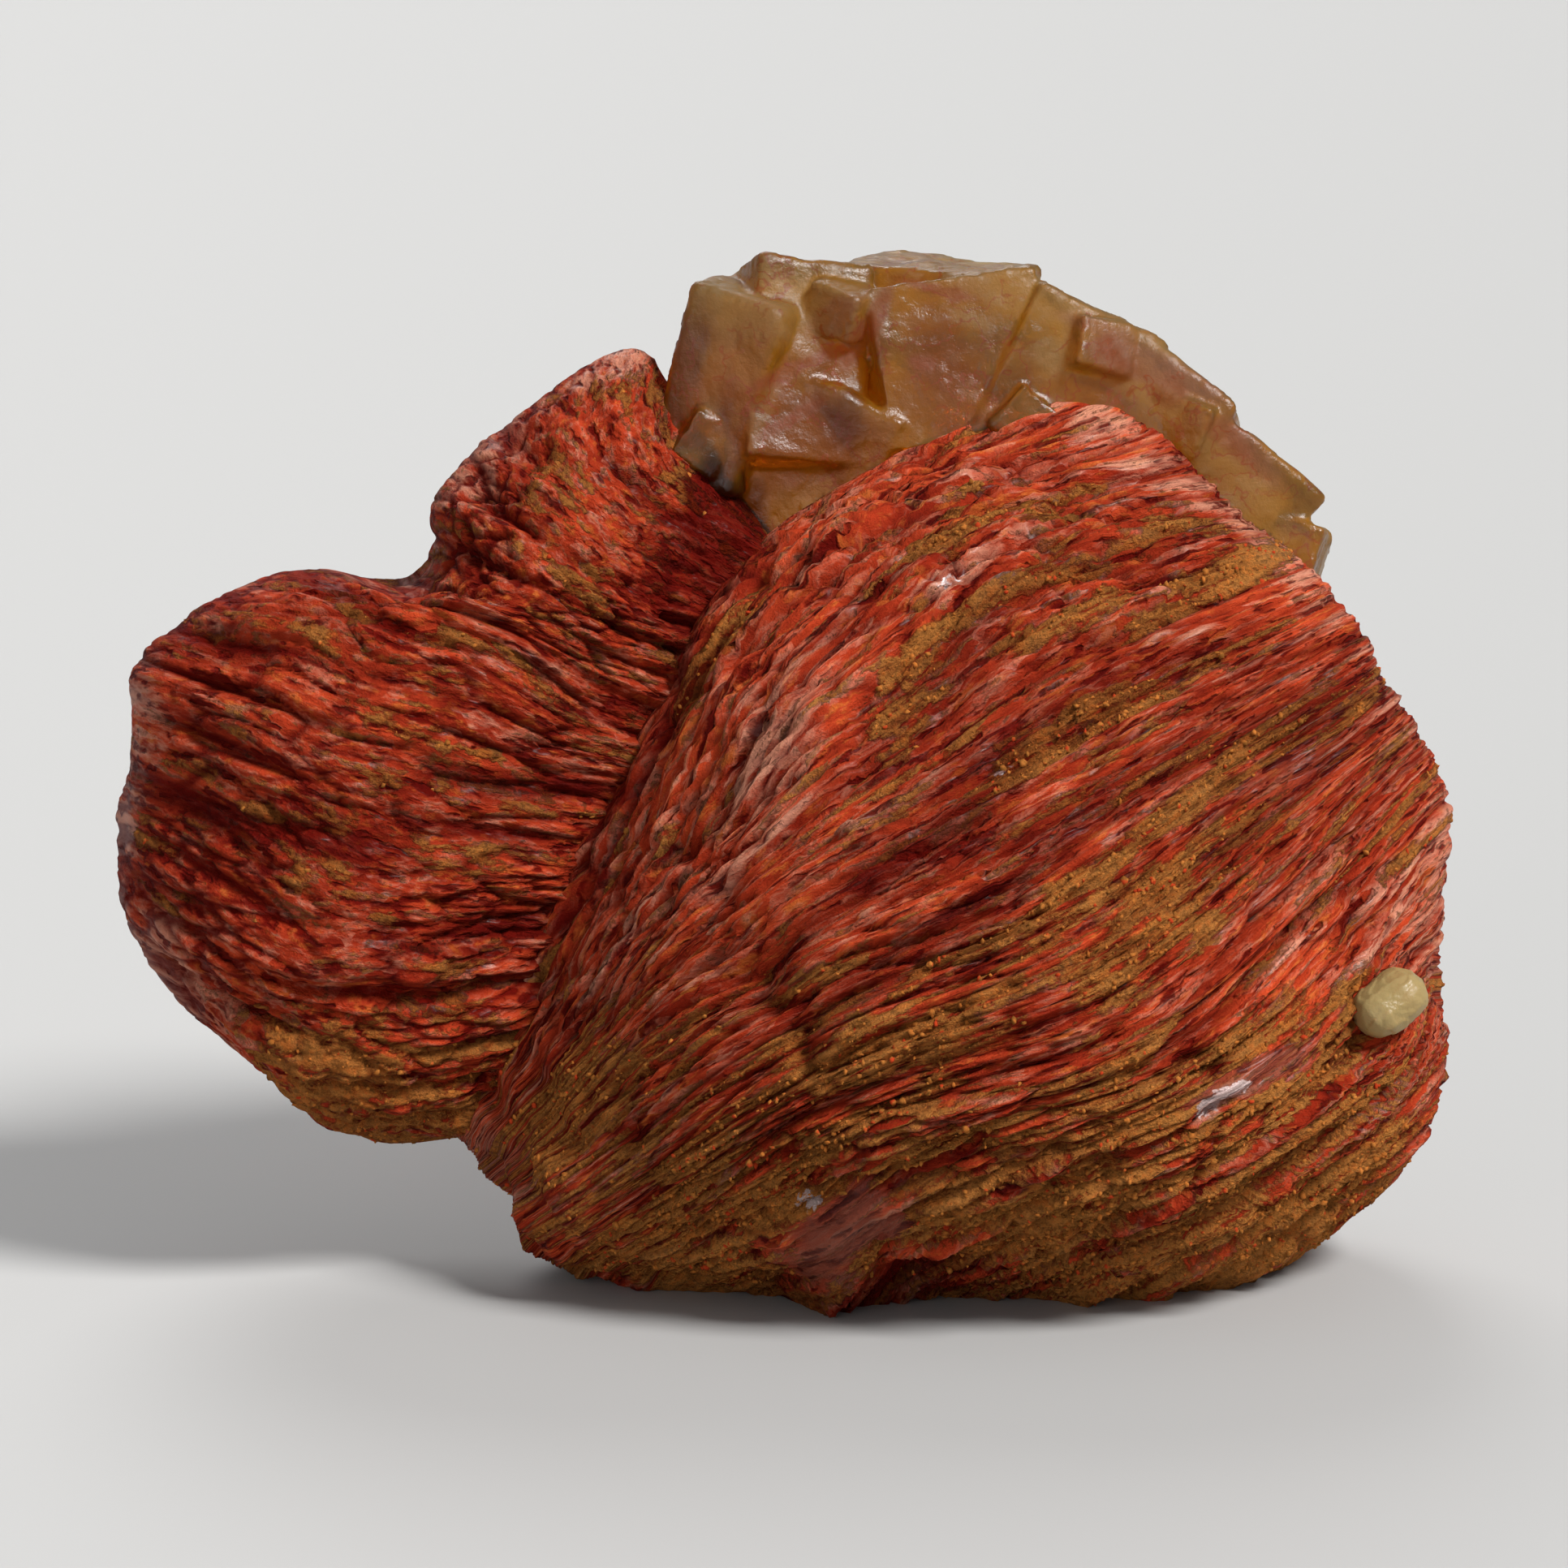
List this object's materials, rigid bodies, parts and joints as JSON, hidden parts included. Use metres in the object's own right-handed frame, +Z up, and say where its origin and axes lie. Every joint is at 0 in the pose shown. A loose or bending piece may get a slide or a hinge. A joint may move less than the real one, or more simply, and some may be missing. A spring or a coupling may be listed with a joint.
{
  "type": "fluorite on barite mineral specimen",
  "caption": "Free-standing mineral specimen: crested fans of red barite blades with honey fluorite crystals over their top.",
  "frame": {"origin": "on the table below the middle of the specimen", "axes": "+X to the right across both fans as seen from the front, -Y towards the viewer, +Z up from the resting face"},
  "size_m": [0.083, 0.0486, 0.0621],
  "materials": {
    "red_barite": "rough bladed barite, brick red with ochre limonite crust and paler blade edges",
    "honey_fluorite": "cloudy honey-brown fluorite, clear to translucent, with worn faces",
    "pale_fluorite": "cloudy pale yellow-green fluorite"
  },
  "bodies": {
    "root": {"barite_right_fan": "red_barite", "barite_left_fan": "red_barite", "fluorite_cluster": "honey_fluorite", "fluorite_grain": "pale_fluorite"}
  },
  "joints": []
}
